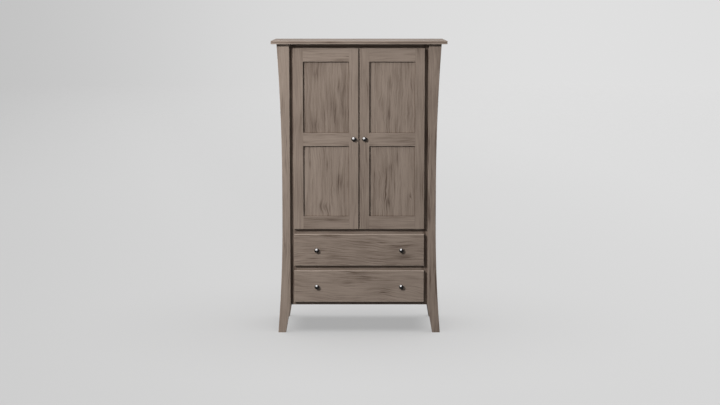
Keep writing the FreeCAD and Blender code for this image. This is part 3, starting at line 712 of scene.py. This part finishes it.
def make_knob_screws():
    """Each head shows on the back of a door stile, or down its hole in the drawer box."""
    head_radius, head_height, shank_radius = 0.0042, 0.0024, 0.002
    for node in slot_nodes("hardware_steel"):
        if "knob_screw" not in node:
            continue
        low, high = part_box(node)
        screw = screw_head(head_radius, head_height)
        add_shank(screw, head_radius, shank_radius, high.y - low.y - head_height)
        screws = copies(screw, seats_in(node, head_radius, high.y - head_height, TO_BACK))
        add_piece(f"{node}_cross_head", screws, body_of[node], "hardware_steel", [node])


def add_screw_heads(name, body, radius, height, places):
    """Heads of screws whose shanks are hidden, as one piece."""
    add_piece(name, copies(screw_head(radius, height), places), body, "hardware_steel")


def make_hinge_screws():
    """Two low heads on each leaf of each hinge."""
    radius, height, half_pitch = 0.0035, 0.0008, 0.015
    plate_length, half_plate = 0.027, 0.025
    flange_depth, flange_thickness = 0.016, 0.0025
    flange_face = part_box("face_top_rail")[1].x - flange_thickness
    flange_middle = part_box("hinge_frame_leaves")[1].y - flange_depth / 2
    for side, door in DOORS:
        low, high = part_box(f"{door}_hinge_leaves")
        plate_middle = min(abs(low.x), abs(high.x)) + plate_length / 2
        hinges = [low.z + half_plate, (low.z + high.z) / 2, high.z - half_plate]
        levels = [hinge + step for hinge in hinges for step in (-half_pitch, half_pitch)]
        on_door = [seat((side * plate_middle, high.y, z), TO_BACK) for z in levels]
        add_screw_heads(f"{door}_leaf_screws", door, radius, height, on_door)
        on_frame = [seat((side * flange_face, flange_middle, z), (-side, 0, 0)) for z in levels]
        add_screw_heads(f"{door}_frame_leaf_screws", "case", radius, height, on_frame)


def make_back_screws():
    """A row of screws round the edge of the back panel."""
    radius, height, inset, spacing = 0.0038, 0.001, 0.011, 0.17
    low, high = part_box("back_panel")
    left, right, bottom, top = low.x + inset, high.x - inset, low.z + inset, high.z - inset
    points = []
    columns = round((right - left) / spacing)
    rows = round((top - bottom) / spacing)
    for column in range(columns + 1):
        x = left + (right - left) * column / columns
        points += [(x, bottom), (x, top)]
    for row in range(1, rows):
        z = bottom + (top - bottom) * row / rows
        points += [(left, z), (right, z)]
    places = [seat((x, high.y, z), TO_BACK) for x, z in points]
    add_screw_heads("back_panel_screws", "case", radius, height, places)


def make_cable_brush():
    """A plastic ring in the cable hole, closed by two combs of bristles that part for a cable."""
    hole_radius, hole_rise, wall = 0.032, 0.07, 0.003
    flange, flange_height = 0.005, 0.0022
    low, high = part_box("back_panel")
    depth = high.y - low.y
    bore = hole_radius - wall
    outline = [
        (bore, -depth),
        (hole_radius, -depth),
        (hole_radius, 0),
        (hole_radius + flange, 0),
        (hole_radius + flange, flange_height),
        (bore, flange_height),
        (bore, -depth),
    ]
    outer_edge, inner_edge = 4, 5
    rounding = {outer_edge: 0.0012, inner_edge: 0.0008}
    middle = Vector((0, high.y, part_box("tv_deck")[1].z + hole_rise))
    ring = copies(turned(outline, rounding, steps=64), [seat(middle, TO_BACK)])
    add_piece("cable_hole_ring", ring, "case", "catch_plastic")

    tuft_radius, tuft_tip, pitch, overlap = 0.0011, 0.0007, 0.0015, 0.0006
    row_depths = (0.0022, 0.0038)
    count = int(2 * bore / pitch)
    tufts = bmesh.new()
    for row, row_depth in enumerate(row_depths):
        for number in range(count):
            x = (number - (count - 1) / 2 + row / 2) * pitch
            if abs(x) >= bore:
                continue
            reach = math.sqrt(bore * bore - x * x) + overlap
            for up in (-1, 1):
                foot = middle + Vector((x, -row_depth, up * (reach - overlap)))
                place = seat(foot, (0, 0, -up)) @ Matrix.Translation((0, 0, reach / 2))
                bmesh.ops.create_cone(
                    tufts, cap_ends=True, segments=6, radius1=tuft_radius, radius2=tuft_tip, depth=reach,
                    matrix=place,
                )
    add_piece("cable_hole_bristles", tufts, "case", "catch_plastic")


def make_door_bumpers():
    """Soft buttons on the backs of the doors, at the corners that meet the face frame."""
    radius, height, from_edge, from_middle = 0.0045, 0.0017, 0.0065, 0.05
    top_radius, top_edge, top_round = radius * 0.85, 2, 0.0008
    outline = [(0, 0), (radius, 0), (top_radius, height), (0, height)]
    for side, door in DOORS:
        low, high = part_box(f"{door}_meeting_stile")
        levels = (low.z + from_edge, high.z - from_edge)
        places = [seat((side * from_middle, high.y, level), TO_BACK) for level in levels]
        button = turned(outline, {top_edge: top_round}, steps=24)
        add_piece(f"{door}_bumpers", copies(button, places), door, "catch_plastic")


def make_drawer_screws():
    """Four screws through the front end of each drawer box hold its front."""
    radius, height, half_width, half_height = 0.0045, 0.0014, 0.3, 0.045
    box_wall = 0.0127
    for drawer in DRAWERS:
        low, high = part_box(f"{drawer}_box_ends")
        level = (low.z + high.z) / 2
        places = [
            seat((x, low.y + box_wall, level + step), TO_BACK)
            for x in (-half_width, half_width)
            for step in (-half_height, half_height)
        ]
        add_screw_heads(f"{drawer}_front_screws", drawer, radius, height, places)


def make_slide_screws():
    """Three screws hold the drawer member of each slide to the side of its box."""
    radius, height, sheet, per_slide = 0.0036, 0.0011, 0.0012, 3
    for drawer in DRAWERS:
        low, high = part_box(f"{drawer}_slide_runners")
        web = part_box(f"{drawer}_box_sides")[1].x + sheet
        level = (low.z + high.z) / 2
        pitch = (high.y - low.y) / per_slide
        rows = [low.y + pitch * (number + 0.5) for number in range(per_slide)]
        places = [seat((side * web, y, level), (side, 0, 0)) for side in (-1, 1) for y in rows]
        add_screw_heads(f"{drawer}_slide_screws", drawer, radius, height, places)


# Studio
FLOOR_HALF = 40.0
FLOOR_CLEAR, FLOOR_GONE = 8.0, 30.0
FLOOR_COLOUR = grey(162)
FLOOR_BOUNCE = grey(150)
# glow of the floor from left to right, on lines that lean to the left towards the back
FLOOR_GLOW = (
    (-7.0, grey(140)),
    (-3.5, grey(150)),
    (-1.0, grey(165)),
    (0.5, grey(168)),
    (2.3, grey(172)),
    (5.0, grey(178)),
)
FLOOR_GLOW_LEAN = 0.2
# shade of the backdrop, by how far to the left or right it is seen
BACKDROP = (
    (-0.23, grey(195)),
    (-0.085, grey(213)),
    (0.08, grey(222)),
    (0.23, grey(223)),
)
AMBIENT = grey(26)
SUN_DISTANCE = 8.0
# the sockets of a Mix node that hold colours
MIX_FACTOR, MIX_FIRST, MIX_SECOND, MIX_RESULT = 0, 6, 7, 2


def spread(shader, value, stops):
    """A colour ramp that runs smoothly through stops given at their own values."""
    first, last = stops[0][0], stops[-1][0]
    ramp_stops = [((place - first) / (last - first), colour) for place, colour in stops]
    return shader.ramp((value - first) / (last - first), ramp_stops, "CARDINAL")


def seen_directly(shader):
    """One on what the camera, a reflection or a see-through piece looks at, and zero on bounced light."""
    camera_ray = shader.add("ShaderNodeLightPath", out="Is Camera Ray")
    either = shader.math("MAXIMUM", camera_ray, camera_ray.output("Is Glossy Ray"))
    return shader.math("MAXIMUM", either, camera_ray.output("Is Transmission Ray"))


def seen_or(shader, unseen, seen):
    """One colour for bounced light, another for what the camera sees, or a reflection of it."""
    sockets = {MIX_FACTOR: seen_directly(shader), MIX_FIRST: unseen, MIX_SECOND: seen}
    return shader.add("ShaderNodeMix", {"data_type": "RGBA"}, sockets, MIX_RESULT)


def make_floor():
    """A matt floor that fades into the backdrop. Its pale glow shows to the eye but throws no light."""
    shape = bmesh.new()
    bmesh.ops.create_grid(shape, x_segments=1, y_segments=1, size=FLOOR_HALF)
    mesh = bpy.data.meshes.new("floor")
    shape.to_mesh(mesh)
    shape.free()
    floor = bpy.data.objects.new("floor", mesh)
    bpy.context.scene.collection.objects.link(floor)

    finish = Finish("studio_floor")
    place = finish.place()
    x, y, _ = finish.parts(place)
    glow = spread(finish, x + y * FLOOR_GLOW_LEAN, FLOOR_GLOW)
    matt = finish.add(
        "ShaderNodeBsdfPrincipled",
        None,
        {
            "Base Color": seen_or(finish, FLOOR_BOUNCE, FLOOR_COLOUR),
            "Roughness": 1.0,
            "Specular IOR Level": 0.0,
            "Emission Color": seen_or(finish, grey(0), glow),
            "Emission Strength": 1.0,
        },
    )
    distance = finish.add("ShaderNodeVectorMath", {"operation": "LENGTH"}, {0: place}, "Value")
    fade = finish.unit((distance - FLOOR_CLEAR) / (FLOOR_GONE - FLOOR_CLEAR))
    nothing = finish.add("ShaderNodeBsdfTransparent")
    blend = finish.add("ShaderNodeMixShader", None, {0: fade, 1: matt, 2: nothing})
    finish.add("ShaderNodeOutputMaterial", None, {"Surface": blend})
    paint(floor, finish.material)
    return floor


def make_world():
    """A backdrop that shows to the eye, over a faint even light."""
    world = bpy.data.worlds.new("studio")
    world.use_nodes = True
    bpy.context.scene.world = world
    shader = Shader(world.node_tree)
    sideways = shader.parts(shader.add("ShaderNodeTexCoord", out="Generated"))[0]
    colour = seen_or(shader, AMBIENT, spread(shader, sideways, BACKDROP))
    glow = shader.add("ShaderNodeBackground", None, {"Color": colour, "Strength": 1.0})
    shader.add("ShaderNodeOutputWorld", None, {"Surface": glow})


def towards(left_of_front, elevation):
    """Direction from the armoire to a lamp, from its angles in degrees."""
    turn, rise = math.radians(left_of_front), math.radians(elevation)
    return Vector((-math.sin(turn) * math.cos(rise), -math.cos(turn) * math.cos(rise), math.sin(rise)))


def add_lamp(name, light, place, aim):
    lamp = bpy.data.objects.new(name, light)
    lamp.location = place
    lamp.rotation_euler = (aim - place).to_track_quat("-Z", "Y").to_euler()
    bpy.context.scene.collection.objects.link(lamp)
    return lamp


def add_disk(name, size, energy, distance, direction, aim):
    """A round lamp at a distance from what it aims at."""
    disk = bpy.data.lights.new(name, "AREA")
    disk.shape = "DISK"
    disk.size = size
    disk.energy = energy
    return add_lamp(name, disk, aim + direction * distance, aim)


def add_sun(name, level, width, direction, aim):
    """A sun as wide as an angle in degrees. A level of 1 shows a white board that faces it as white."""
    sun = bpy.data.lights.new(name, "SUN")
    sun.angle = math.radians(width)
    sun.energy = level * math.pi
    return add_lamp(name, sun, aim + direction * SUN_DISTANCE, aim)


def make_lamps(floor, knobs):
    """A key from the front left, a wide overhead light, a rear light, and a gloss on the knobs."""
    middle = Vector((0, 0, (cad_box[0].z + cad_box[1].z) / 2))
    not_floor = bpy.data.collections.new("not_lit_from_the_side")
    not_floor.objects.link(floor)
    not_floor.collection_objects[0].light_linking.link_state = "EXCLUDE"

    # a level of 1 shows a white board that faces the key as white
    key_level, key_size, key_distance = 1.05, 1.25, 6.5
    key_energy = key_level * (math.pi * key_distance) ** 2
    key_direction = towards(left_of_front=42, elevation=29.5)
    key = add_disk("key", key_size, key_energy, key_distance, key_direction, middle)
    key.light_linking.receiver_collection = not_floor

    overhead_direction = towards(left_of_front=0, elevation=90)
    add_sun("overhead", level=0.75, width=75, direction=overhead_direction, aim=middle)
    rear_direction = towards(left_of_front=-130, elevation=8)
    rear = add_sun("rear", level=0.6, width=40, direction=rear_direction, aim=middle)
    rear.light_linking.receiver_collection = not_floor

    # a wide softbox beside the key shows only as the gloss on the knobs
    gloss_radiance, gloss_size, gloss_distance = 37.0, 4.6, 2.8
    gloss_energy = gloss_radiance * math.pi**2 * (gloss_size / 2) ** 2
    gloss_direction = towards(left_of_front=24, elevation=37)
    gloss = add_disk("softbox", gloss_size, gloss_energy, gloss_distance, gloss_direction, middle)
    gloss.visible_diffuse = False
    gloss.visible_camera = False
    metal = bpy.data.collections.new("metal")
    for knob in knobs:
        metal.objects.link(knob)
    gloss.light_linking.receiver_collection = metal


def make_camera():
    """A long lens, a little above the top and tilted down so that the horizon is at the upper edge."""
    image_width, focal_pixels = 720, 1543.13
    eye_place, tilt_down = (0.0057, -9.821, 2.0634), 7.3875
    camera = bpy.data.cameras.new("camera")
    camera.lens = camera.sensor_width * focal_pixels / image_width
    eye = bpy.data.objects.new("camera", camera)
    eye.location = eye_place
    eye.rotation_euler = (math.radians(90 - tilt_down), 0, 0)
    bpy.context.scene.collection.objects.link(eye)
    bpy.context.scene.camera = eye


finish_wood()
fitting_finishes = finish_fittings()
knobs = make_knobs()
make_knob_screws()
make_hinge_screws()
make_back_screws()
make_cable_brush()
make_door_bumpers()
make_drawer_screws()
make_slide_screws()
floor = make_floor()
make_world()
make_lamps(floor, knobs)
make_camera()
bpy.context.scene.view_settings.view_transform = "Standard"
